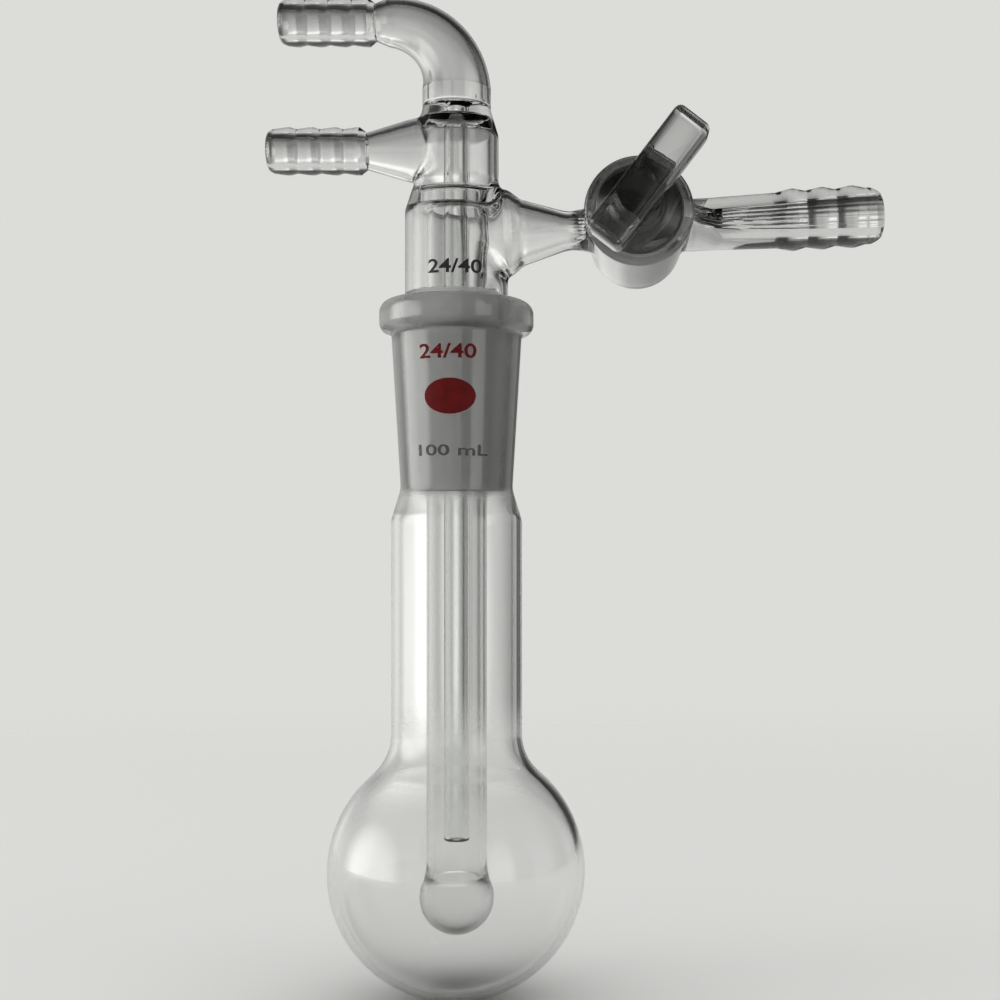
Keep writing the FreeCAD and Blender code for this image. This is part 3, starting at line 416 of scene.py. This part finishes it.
def drawn_bend(name, foot_radius, end_radius, segments):
    """The quarter bend on top of the head, which thins from the chamber to the hose connection."""
    steps, ring_apart, ring_inset = 40, 0.6, 0.3
    sideways = Vector((0, 1, 0))
    rings = []
    for step in range(-2, steps + 3):  # two rings past each end reach into the tubes that it joins
        share = min(max(step / steps, 0), 1)
        angle = math.radians(90) * share
        inset = max(-step, step - steps, 0)
        radius = foot_radius + (end_radius - foot_radius) * share - ring_inset * inset
        over = -BEND_SWEEP + BEND_SWEEP * math.cos(angle)
        centre = Vector((over, 0, BEND_FOOT + BEND_SWEEP * math.sin(angle)))
        outward = Vector((math.cos(angle), 0, math.sin(angle)))
        ahead = Vector((-math.sin(angle), 0, math.cos(angle)))
        centre += ahead * ring_apart * (min(step, 0) + max(step - steps, 0))
        turns = [2 * math.pi * k / segments for k in range(segments)]
        rings.append([(centre + outward * radius * math.cos(turn) + sideways * radius * math.sin(turn)) / 1000
                      for turn in turns])
    verts = [point for ring in rings for point in ring]
    faces = []
    for r in range(len(rings) - 1):
        for k in range(segments):
            faces.append((r * segments + k, r * segments + (k + 1) % segments,
                          (r + 1) * segments + (k + 1) % segments, (r + 1) * segments + k))
    faces.append(tuple(reversed(range(segments))))
    faces.append(tuple((len(rings) - 1) * segments + k for k in range(segments)))
    made = bpy.data.meshes.new(name)
    made.from_pydata(verts, [], faces)
    made.materials.append(blown_glass)
    return made


def fused(name, meshes, ways=()):
    """Melt closed meshes into one and open the ways through it."""
    base = bpy.data.objects.new(name, facing_out(meshes[0]))
    bpy.context.scene.collection.objects.link(base)
    tools = []
    for operation, others in (("UNION", meshes[1:]), ("DIFFERENCE", ways)):
        for other in others:
            tool = bpy.data.objects.new(other.name, facing_out(other))
            bpy.context.scene.collection.objects.link(tool)
            tools.append(tool)
            step = base.modifiers.new(other.name, "BOOLEAN")
            step.operation = operation
            step.solver = "MANIFOLD"
            step.object = tool
    bpy.context.view_layer.update()
    made = bpy.data.meshes.new_from_object(base.evaluated_get(bpy.context.evaluated_depsgraph_get()))
    made.name = name
    made.materials.clear()
    made.materials.append(blown_glass)
    for face in made.polygons:
        face.material_index = 0
    for thing in tools + [base]:
        bpy.data.objects.remove(thing)
    return made


core = turned("head_core", ball_outline(BALL, BALL_UP, 0, 118) + rounded_outline([
    (6.9, 27.6, None), (6.6, 29.4, None), (6.6, 29.9, None), (6.6, 31.5, None), (6.6, LIP, None),
    (MALE_FOOT, LIP, 0.7), (11.95, 153, None), (MALE_HEAD, 153.8, None), (VAPOUR_TUBE, 154.6, None),
    (VAPOUR_TUBE, 172.8, 2.4), (9.2, 179.3, 4.8), (9.2, 189.6, 4.8), (7.5, 195.2, 2.4),
    (7.5, BEND_FOOT, None), (0, BEND_FOOT, None)],
    fine=((156, 199),)), 96)
WATER_RINGS = {"rings": 4, "pitch": 5.1, "rise": 1.5, "land": 0.8, "root": 4.75, "crest": 5.15,
               "tip_radius": 3.7}
upper_hose = facing(
    hose_end("upper_hose", steps=100, foot=14.4, foot_radius=5.2, cone_start=14.7, start=17.7, neck=4.0,
             tip_start=36.4, reach=38.8, **WATER_RINGS),
    (0, 0, UPPER_HOSE), (-1, 0, 0))
lower_hose = facing(
    hose_end("lower_hose", steps=150, foot=2.4, foot_radius=7.3, cone_start=8.4, start=19.6, neck=4.0,
             tip_start=39.0, reach=41.4, **WATER_RINGS),
    (0, 0, LOWER_HOSE), (-1, 0, 0))
TO_TUBE = (-math.cos(math.radians(2.5)), 0, -math.sin(math.radians(2.5)))
TO_VACUUM = (math.cos(math.radians(3)), 0, math.sin(math.radians(3)))
side_arm = facing(turned("side_arm", rounded_outline([
    (0, 9, None), (4.2, 9, None), (4.2, 15.6, 9), (7.2, 25.4, 4), (9.6, 28.2, 1.5), (9.6, 38.7, None),
    (0, 38.7, None)], fine=((18, 38),)), 96), COCK, TO_TUBE)
vacuum_arm = facing(
    hose_end("vacuum_arm", steps=150, foot=9.0, foot_radius=5.65, cone_start=16.0, start=30.45, neck=6.0,
             rings=3, pitch=6.5, rise=3.25, land=0.9, root=6.1, crest=6.7, tip_start=49.5, tip_radius=4.1,
             reach=53.7),
    COCK, TO_VACUUM)
barrel = facing(turned("barrel", rounded_outline([
    (0, 0, None), (10.4, 0, 1), (11.6, 34.5, 1), (0, 34.5, None)], fine=((8, 26),)), 96),
    (COCK[0], BARREL_HALF, COCK[2]), (0, -1, 0))
vapour_space = turned("vapour_space", rounded_outline([
    (6.6, LIP - 3, None), (8.3, LIP - 3, None), (8.3, LIP, None), (9.7, 153, None), (9.7, 173.3, 1.4),
    (6.6, 173.3, 1.4), (6.6, LIP - 3, None)], fine=((156, 173),)), 96)
side_arm_bore = facing(turned("side_arm_bore", rounded_outline([
    (0, 6.6, None), (2, 6.6, None), (2, 10.9, None), (2.7, 11.9, None), (2.7, 15.6, 10.5), (5.7, 25.8, 3),
    (8.1, 28.6, 1.5), (8.1, 35.4, None), (0, 35.4, None)], fine=((18, 36),)), 96), COCK, TO_TUBE)
kept_whole = turned("kept_whole", rounded_outline([
    (0, LIP, None), (6.9, LIP, None), (6.9, 173, None), (9.7, 173, None), (9.7, 189.6, None),
    (0, 189.6, None)]), 96)
vacuum_bore = facing(turned("vacuum_bore", rounded_outline([
    (0, 6.6, None), (2, 6.6, None), (2, 10.9, None), (3.3, 12.9, None), (3.3, 54.7, None),
    (0, 54.7, None)]), 96), COCK, TO_VACUUM)
barrel_bore = facing(turned("barrel_bore", rounded_outline([
    (0, 0, None), (7.5, 0, None), (9.425, 38.5, None), (0, 38.5, None)]), 96),
    (COCK[0], BARREL_HALF + 2, COCK[2]), (0, -1, 0))
water_space = turned("water_space", ball_outline(BALL_INSIDE, BALL_UP, 0, 129.3) + rounded_outline([
    (5.3, 26.9, None), (5.3, 176.3, 0.96), (7.7, 176.3, 0.96), (7.7, 189.6, 2), (5, 193.2, 1.2),
    (2.8, 193.2, None), (2.8, 34.8, 0.45), (0, 34.8, None)], fine=((176, 192),)), 96)
lower_hose_bore = facing(turned("lower_hose_bore", rounded_outline([
    (0, 4.3, None), (5.8, 4.3, None), (5.8, 8.4, 3), (2.8, 19.6, 3), (2.8, 42.4, None), (0, 42.4, None)],
    fine=((5, 12),)), 96), (0, 0, LOWER_HOSE), (-1, 0, 0))
inlet_space = turned("inlet_space", rounded_outline([
    (0, 34.3, None), (2.3, 34.3, None), (2.3, 34.8, 0.3), (1.8, 35.3, None), (1.8, 194.6, 0.8),
    (6.1, 196, 1), (6.1, BEND_FOOT + 0.1, None), (0, BEND_FOOT + 0.1, None)]), 64)
upper_hose_bore = facing(turned("upper_hose_bore", rounded_outline([
    (0, 14.4, None), (3.8, 14.4, None), (2.8, 17.7, None), (2.8, 39.8, None), (0, 39.8, None)]), 96),
    (0, 0, UPPER_HOSE), (-1, 0, 0))
head_mesh = fused(
    "head_glass",
    [core, drawn_bend("bend", 7.5, 5.2, 96), upper_hose, lower_hose, side_arm, vacuum_arm, barrel],
    [fused("water_way", [water_space, lower_hose_bore, inlet_space, drawn_bend("bend_bore", 6.1, 3.8, 64),
                         upper_hose_bore]),
     fused("gas_way", [vapour_space, fused("side_arm_way", [side_arm_bore], [kept_whole]), barrel_bore,
                       vacuum_bore])])
head_mesh.transform(TO_FRAME)


def flow_together(mesh, spot, size, reach, rounds):
    """Let the fused seams no further than size from a spot flow into soft roundings."""
    work = bmesh.new()
    work.from_mesh(mesh)
    bmesh.ops.remove_doubles(work, verts=work.verts, dist=2e-6)
    centre = Vector(spot) - Vector((0, 0, CLAMP_HEIGHT))
    near = [vert for vert in work.verts if (vert.co * 1000 - centre).length < size]
    seams = {vert for vert in near for edge in vert.link_edges
             if len(edge.link_faces) == 2 and edge.calc_face_angle(0) > math.radians(24)}
    tree = KDTree(len(seams))
    for number, vert in enumerate(seams):
        tree.insert(vert.co, number)
    tree.balance()
    share = {}
    for vert in near:
        distance = tree.find(vert.co)[2] * 1000
        if distance < reach:
            ease = 1 - distance / reach
            share[vert] = ease * ease * (3 - 2 * ease)
    for _ in range(rounds):
        moved = {}
        for vert, weight in share.items():
            around = [edge.other_vert(vert).co for edge in vert.link_edges]
            moved[vert] = vert.co.lerp(sum(around, Vector()) / len(around), 0.6 * weight)
        for vert, place in moved.items():
            vert.co = place
    work.to_mesh(mesh)
    work.free()


flow_together(head_mesh, (-9, 0, 186), size=10, reach=2.6, rounds=14)
flow_together(head_mesh, (10, 0, 167), size=15, reach=4.2, rounds=22)
flow_together(head_mesh, COCK, size=13.5, reach=2.6, rounds=12)


def shade(mesh, angle=32):
    """Smooth shading, with creases only where the faces meet at more than the angle."""
    for face in mesh.polygons:
        face.use_smooth = True
    mesh.set_sharp_from_angle(angle=math.radians(angle))


shade(head_mesh)


def head_ground(p):
    """The head is ground on its inner joint and in the barrel, and its blown end is left matt."""
    out = math.hypot(p.x, p.y)
    if LIP + 0.5 < p.z < 153.9 and out > 9.0 + (p.z - LIP) * 0.045:
        return 1.0
    if math.hypot(p.x - COCK[0], p.z - COCK[2]) < 9.4 and abs(p.y) < 17.3 and p.x > 28:
        return 1.0
    if p.z < 28.8 and (Vector(p) - Vector((0, 0, BALL_UP))).length > 7.4:
        return 0.5
    return 0.0


mark_ground(head_mesh, head_ground)
shown("head_glass", head_mesh, "condenser_head", "glass_body")


# Stopcock plug: one piece of solid glass, ground where it turns in the barrel, with its stem and
# flat handle. A plastic washer and a rubber ring behind the barrel keep it from pulling out.
plug_glass = glass_material(
    "plug_glass", ground_tint=(0.66, 0.66, 0.66), ground_rough=0.5, grey=100, ripple=0.05)
TAIL, STEM, HANDLE_DEPTH, HANDLE_TURN = 8.5, 22, 9, 52.5
plug_key = facing(turned("plug_key", rounded_outline([
    (0, 0, None), (6, 0, 0.5), (6, 3.9, None), (4.8, 3.9, None), (4.8, 6.5, None), (6, 6.5, None),
    (6, 8.9, None), (7.58, 8.9, None), (9.385, 45.0, 1), (4.4, 47.4, 2.4), (4.4, 58.5, None),
    (0, 58.5, None)], fine=((23, 29),)), 128), (COCK[0], BARREL_HALF + TAIL, COCK[2]), (0, -1, 0))


def flat_handle(length, width, depth, edge, offset):
    """The plug's flat handle, pressed from a glass rod: a bar with all its edges melted round."""
    work = bmesh.new()
    bmesh.ops.create_cube(work, size=1)
    bmesh.ops.scale(work, verts=work.verts, vec=(length / 1000, depth / 1000, width / 1000))
    bmesh.ops.bevel(work, geom=work.edges, offset=edge / 1000, segments=5, profile=0.5, affect="EDGES")
    made = bpy.data.meshes.new("plug_handle")
    work.to_mesh(made)
    work.free()
    middle = Vector((COCK[0], -BARREL_HALF - STEM + depth / 2, COCK[2])) / 1000
    made.transform(Matrix.Translation(middle) @ Matrix.Rotation(math.radians(-HANDLE_TURN), 4, "Y")
                   @ Matrix.Translation((offset / 1000, 0, 0)))
    return made


plug_way = turned("plug_way", rounded_outline([(0, 0, None), (2, 0, None), (2, 24, None), (0, 24, None)]), 48)
ALONG_HANDLE = Vector((math.cos(math.radians(HANDLE_TURN)), 0, math.sin(math.radians(HANDLE_TURN))))
facing(plug_way, Vector(COCK) - 12 * ALONG_HANDLE, ALONG_HANDLE)
handle = flat_handle(30, 8.3, HANDLE_DEPTH, edge=1.5, offset=2.5)
plug_mesh = fused("plug_glass", [plug_key, handle], [plug_way])
plug_mesh.materials[0] = plug_glass
plug_mesh.transform(TO_FRAME)
shade(plug_mesh)


def plug_ground(p):
    """The plug is ground on its tapered key."""
    return 1.0 if -19.4 < p.y < 17.0 and math.hypot(p.x - COCK[0], p.z - COCK[2]) > 7.0 else 0.0


mark_ground(plug_mesh, plug_ground)
shown("plug_glass", plug_mesh, "stopcock_plug", "plug_body")


def moulded(name, dark, light, rough, grain, depth, gloss=0.5):
    """A plain moulded or turned material: its colour and roughness vary a little over a fine grain."""
    made = bpy.data.materials.new(name)
    made.use_nodes = True
    nodes, link = made.node_tree.nodes, made.node_tree.links.new
    shader = nodes["Principled BSDF"]
    shader.inputs["Specular IOR Level"].default_value = gloss
    place = nodes.new("ShaderNodeTexCoord")
    speckle = nodes.new("ShaderNodeTexNoise")
    speckle.inputs["Scale"].default_value = grain
    speckle.inputs["Detail"].default_value = 5
    link(place.outputs["Object"], speckle.inputs["Vector"])
    colour = nodes.new("ShaderNodeMix")
    colour.data_type = "RGBA"
    colour.inputs["A"].default_value = (*dark, 1)
    colour.inputs["B"].default_value = (*light, 1)
    link(speckle.outputs["Fac"], colour.inputs["Factor"])
    link(colour.outputs["Result"], shader.inputs["Base Color"])
    matt = nodes.new("ShaderNodeMapRange")
    matt.inputs["From Min"].default_value = 0.3
    matt.inputs["From Max"].default_value = 0.7
    matt.inputs["To Min"].default_value = rough - 0.08
    matt.inputs["To Max"].default_value = rough + 0.08
    link(speckle.outputs["Fac"], matt.inputs["Value"])
    link(matt.outputs["Result"], shader.inputs["Roughness"])
    relief = nodes.new("ShaderNodeBump")
    relief.inputs["Strength"].default_value = 0.4
    relief.inputs["Distance"].default_value = depth
    link(speckle.outputs["Fac"], relief.inputs["Height"])
    link(relief.outputs["Normal"], shader.inputs["Normal"])
    return made


washer_plastic = moulded("washer_plastic", (0.66, 0.66, 0.63), (0.82, 0.82, 0.79), 0.42, 900, 0.00002)
ring_rubber = moulded("ring_rubber", (0.012, 0.012, 0.012), (0.035, 0.034, 0.033), 0.62, 1600, 0.00003)
for node_name, material in (("plug_washer", washer_plastic), ("plug_retaining_ring", ring_rubber)):
    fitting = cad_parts[node_name]
    if not fitting.material_slots:
        fitting.data.materials.append(material)
    for filled in fitting.material_slots:
        filled.material = material


# Prints on the glass: the joint's size in dark red over a plain oval patch, the flask's content in
# grey, and the joint's size in black on the vapour tube. They are ceramic ink, fired on thinly.
INK, SUNK = 0.05, 0.01


def lettering(words, width, height):
    """Flat bold lettering of an exact width and height, as thick as the ink, about its middle."""
    source = bpy.data.objects.new("words", bpy.data.curves.new("words", "FONT"))
    source.data.body = words
    source.data.extrude = 0.5
    source.data.offset = 0.018
    source.data.resolution_u = 4
    bpy.context.scene.collection.objects.link(source)
    bpy.context.view_layer.update()
    made = bpy.data.meshes.new_from_object(source.evaluated_get(bpy.context.evaluated_depsgraph_get()))
    bpy.data.objects.remove(source)
    low = Vector([min(vert.co[axis] for vert in made.vertices) for axis in range(3)])
    high = Vector([max(vert.co[axis] for vert in made.vertices) for axis in range(3)])
    size = high - low
    made.transform(Matrix.Diagonal((width / size.x, height / size.y, INK / size.z, 1))
                   @ Matrix.Translation(-(low + high) / 2))
    return made


def oval(width, height):
    """A flat oval patch, as thick as the ink, about its middle."""
    work = bmesh.new()
    ring = [work.verts.new((width / 2 * math.cos(a), height / 2 * math.sin(a), -INK / 2))
            for a in (2 * math.pi * k / 96 for k in range(96))]
    raised = bmesh.ops.extrude_face_region(work, geom=[work.faces.new(ring)])["geom"]
    top = [item for item in raised if isinstance(item, bmesh.types.BMVert)]
    bmesh.ops.translate(work, vec=(0, 0, INK), verts=top)
    made = bpy.data.meshes.new("oval")
    work.to_mesh(made)
    work.free()
    return made


def printed(name, flat, across, height, radius, lean, paint):
    """Wrap flat lettering round the front of the glass, whose radius grows by lean for each millimetre up."""
    work = bmesh.new()
    work.from_mesh(flat)
    bmesh.ops.remove_doubles(work, verts=work.verts, dist=0.001)
    cut_apart, cut_shift, cuts_each_side = 0.6, 0.013, 14
    for step in range(-cuts_each_side, cuts_each_side + 1):
        bmesh.ops.bisect_plane(work, geom=work.verts[:] + work.edges[:] + work.faces[:], dist=1e-5,
                               plane_co=(step * cut_apart + cut_shift, 0, 0), plane_no=(1, 0, 0))
    bmesh.ops.triangulate(work, faces=work.faces[:])
    for vert in work.verts:
        out = radius + lean * vert.co.y + INK / 2 - SUNK + vert.co.z
        turn = (vert.co.x + across) / radius
        up = height - CLAMP_HEIGHT + vert.co.y
        vert.co = Vector((out * math.sin(turn), -out * math.cos(turn), up)) / 1000
    made = bpy.data.meshes.new(name)
    work.to_mesh(made)
    work.free()
    facing_out(made)
    made.materials.append(paint)
    piece = bpy.data.objects.new(name, made)
    bpy.context.scene.collection.objects.link(piece)
    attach(piece, "glass_body")


red_ink = moulded("red_ink", (0.04, 0.0012, 0.0015), (0.13, 0.002, 0.0025), 0.5, 420, 0.00001, 0.12)
black_ink = moulded("black_ink", (0.008, 0.008, 0.009), (0.022, 0.022, 0.023), 0.5, 420, 0.00001, 0.2)
grey_ink = moulded("grey_ink", (0.035, 0.036, 0.038), (0.07, 0.072, 0.075), 0.5, 420, 0.00001, 0.2)
JOINT_LEAN = (JOINT_HEAD - JOINT_FOOT) / (JOINT_HEAD_UP - JOINT_FOOT_UP)
for name, flat, across, height, paint in (
        ("joint_size_print", lettering("24/40", 12.6, 3.1), -0.8, 140.5, red_ink),
        ("oval_patch", oval(11.2, 7.6), -0.3, 131.0, red_ink),
        ("content_print", lettering("100 mL", 15.6, 2.4), 0.3, 119.6, grey_ink)):
    radius = JOINT_FOOT + (height - JOINT_FOOT_UP) * JOINT_LEAN
    printed(name, flat, across, height, radius, JOINT_LEAN, paint)
printed("tube_size_print", lettering("24/40", 11.9, 3.0), 0.6, 159.0, VAPOUR_TUBE, 0, black_ink)


# Stage: a pale floor that fades into the pale backdrop and keeps the object's soft shadow.
PALE = (0.716, 0.716, 0.697, 1)
FLOOR_HALF, FLOOR_UP = 3, -0.0812


def eased(tree, value, low, high, start=0.0, end=1.0, soft=True):
    """A value in a node tree, led from start to end while it goes from low to high."""
    made = tree.nodes.new("ShaderNodeMapRange")
    made.interpolation_type = "SMOOTHSTEP" if soft else "LINEAR"
    tree.links.new(value, made.inputs["Value"])
    for name, size in (("From Min", low), ("From Max", high), ("To Min", start), ("To Max", end)):
        made.inputs[name].default_value = size
    return made.outputs["Result"]


floor_mesh = bpy.data.meshes.new("floor")
floor_mesh.from_pydata([(across * FLOOR_HALF, back * FLOOR_HALF, FLOOR_UP)
                        for across, back in ((-1, -1), (1, -1), (1, 1), (-1, 1))], [], [(0, 1, 2, 3)])
floor = bpy.data.objects.new("floor", floor_mesh)
bpy.context.scene.collection.objects.link(floor)
floor_paint = bpy.data.materials.new("floor_paint")
floor_paint.use_nodes = True
node, sum_of, link = tree_tools(floor_paint.node_tree)
matt = floor_paint.node_tree.nodes["Principled BSDF"]
matt.inputs["Base Color"].default_value = PALE
matt.inputs["Roughness"].default_value = 0.9
matt.inputs["Specular IOR Level"].default_value = 0.1
distance = node("ShaderNodeVectorMath", operation="LENGTH")
link(node("ShaderNodeTexCoord").outputs["Object"], distance.inputs[0])
mix = node("ShaderNodeMixShader")
link(eased(floor_paint.node_tree, distance.outputs["Value"], 0.15, 1.0), mix.inputs[0])
link(matt.outputs[0], mix.inputs[1])
link(node("ShaderNodeBsdfTransparent").outputs[0], mix.inputs[2])
link(mix.outputs[0], floor_paint.node_tree.nodes["Material Output"].inputs["Surface"])
floor_mesh.materials.append(floor_paint)


# World: the camera sees a plain pale studio, and a plain white room lights what is matt. Only glass
# sees the rest: upright dark flags that are strongest at the right, a room that darkens overhead and
# to the right, soft cards that lighten or darken one place each, and two glows that it mirrors.
world = bpy.data.worlds.new("studio")
bpy.context.scene.world = world
world.use_nodes = True
studio = world.node_tree
node, sum_of, link = tree_tools(studio)
room = studio.nodes["Background"]
room.inputs["Color"].default_value = (1, 1, 1, 1)
room.inputs["Strength"].default_value = 0.94
direction = node("ShaderNodeTexCoord").outputs["Generated"]
split = node("ShaderNodeSeparateXYZ")
link(direction, split.inputs[0])
rightward, backward, upward = split.outputs
rays = node("ShaderNodeLightPath").outputs
by_camera = rays["Is Camera Ray"]
by_glass = sum_of("SUBTRACT", 1, by_camera)
mirrored = sum_of("SUBTRACT", 1, rays["Is Transmission Ray"])

FLAGS, FIRST_FLAG = 8, 22.5
turn_from_flag = sum_of("SUBTRACT", sum_of("ARCTAN2", rightward, backward), math.radians(FIRST_FLAG))
wave = sum_of("COSINE", sum_of("MULTIPLY", turn_from_flag, FLAGS))
flag_weight = eased(studio, rightward, -0.5, 0.15, 0.2, 1.0, soft=False)
flags = sum_of("MULTIPLY", eased(studio, wave, -0.35, 0.6), flag_weight)
dark = sum_of("MAXIMUM", flags, eased(studio, upward, 0.38, 0.8))
colour = node("ShaderNodeMix", data_type="RGBA")
link(sum_of("MULTIPLY", dark, by_glass), colour.inputs["Factor"])
colour.inputs["A"].default_value = PALE
colour.inputs["B"].default_value = (0.09, 0.09, 0.09, 1)

light = sum_of("MULTIPLY", eased(studio, upward, 0.08, 0.4, 1.08, 0.45, soft=False),
               eased(studio, rightward, -0.1, 0.15, 1.08, 0.6, soft=False))
BEHIND, IN_FRONT = 1, -1
for across, up, half_width, half_height, where, change in (
        (0.12, -0.01, 0.17, 0.15, BEHIND, -0.15), (-0.16, -0.02, 0.2, 0.14, BEHIND, 0.45),
        (0.08, 0.27, 0.14, 0.13, BEHIND, 0.6), (0.03, 0.25, 0.45, 0.35, IN_FRONT, -0.65)):
    off_across = sum_of("DIVIDE", sum_of("SUBTRACT", rightward, across), half_width)
    off_up = sum_of("DIVIDE", sum_of("SUBTRACT", upward, up), half_height)
    off = sum_of("SQRT", sum_of("ADD", sum_of("POWER", off_across, 2), sum_of("POWER", off_up, 2)))
    on_side = sum_of("GREATER_THAN", sum_of("MULTIPLY", backward, where), 0)
    card = sum_of("MULTIPLY", eased(studio, off, 0.4, 1.0, change, 0.0), on_side)
    light = sum_of("MULTIPLY", light, sum_of("ADD", card, 1))
for towards, brightness in (((-0.98, -0.2, 0.0), 8.0), ((0.6, -0.8, 0.02), 2.4)):
    aim = node("ShaderNodeVectorMath", operation="DOT_PRODUCT")
    link(direction, aim.inputs[0])
    aim.inputs[1].default_value = Vector(towards).normalized()
    glow = eased(studio, aim.outputs["Value"], 0.8, 0.98, 0.0, brightness)
    light = sum_of("ADD", light, sum_of("MULTIPLY", glow, mirrored))

backdrop = node("ShaderNodeBackground")
link(colour.outputs["Result"], backdrop.inputs["Color"])
link(sum_of("MAXIMUM", sum_of("MULTIPLY", light, by_glass), by_camera), backdrop.inputs["Strength"])
mix = node("ShaderNodeMixShader")
seen_by_glass = sum_of("MAXIMUM", rays["Is Glossy Ray"], rays["Is Transmission Ray"])
link(sum_of("MAXIMUM", by_camera, seen_by_glass), mix.inputs[0])
link(room.outputs[0], mix.inputs[1])
link(backdrop.outputs[0], mix.inputs[2])
link(mix.outputs[0], studio.nodes["World Output"].inputs["Surface"])


# Lights: a large soft light at the left and a weaker one at the right, which the glass doesn't mirror.
for name, width, height, energy, place, turn in (
        ("left_softbox", 0.5, 0.62, 1.5, (-0.75, -0.25, 0.16), -73),
        ("right_softbox", 0.4, 0.55, 0.5, (0.72, -0.40, 0.18), 61)):
    box = bpy.data.objects.new(name, bpy.data.lights.new(name, "AREA"))
    box.data.shape = "RECTANGLE"
    box.data.size, box.data.size_y = width, height
    box.data.energy = energy
    box.location = place
    box.rotation_euler = (math.radians(90), 0, math.radians(turn))
    box.visible_glossy = False
    box.visible_transmission = False
    bpy.context.scene.collection.objects.link(box)

bpy.context.scene.cycles.max_bounces = 32
bpy.context.scene.cycles.transmission_bounces = 32
bpy.context.scene.view_settings.view_transform = "Standard"
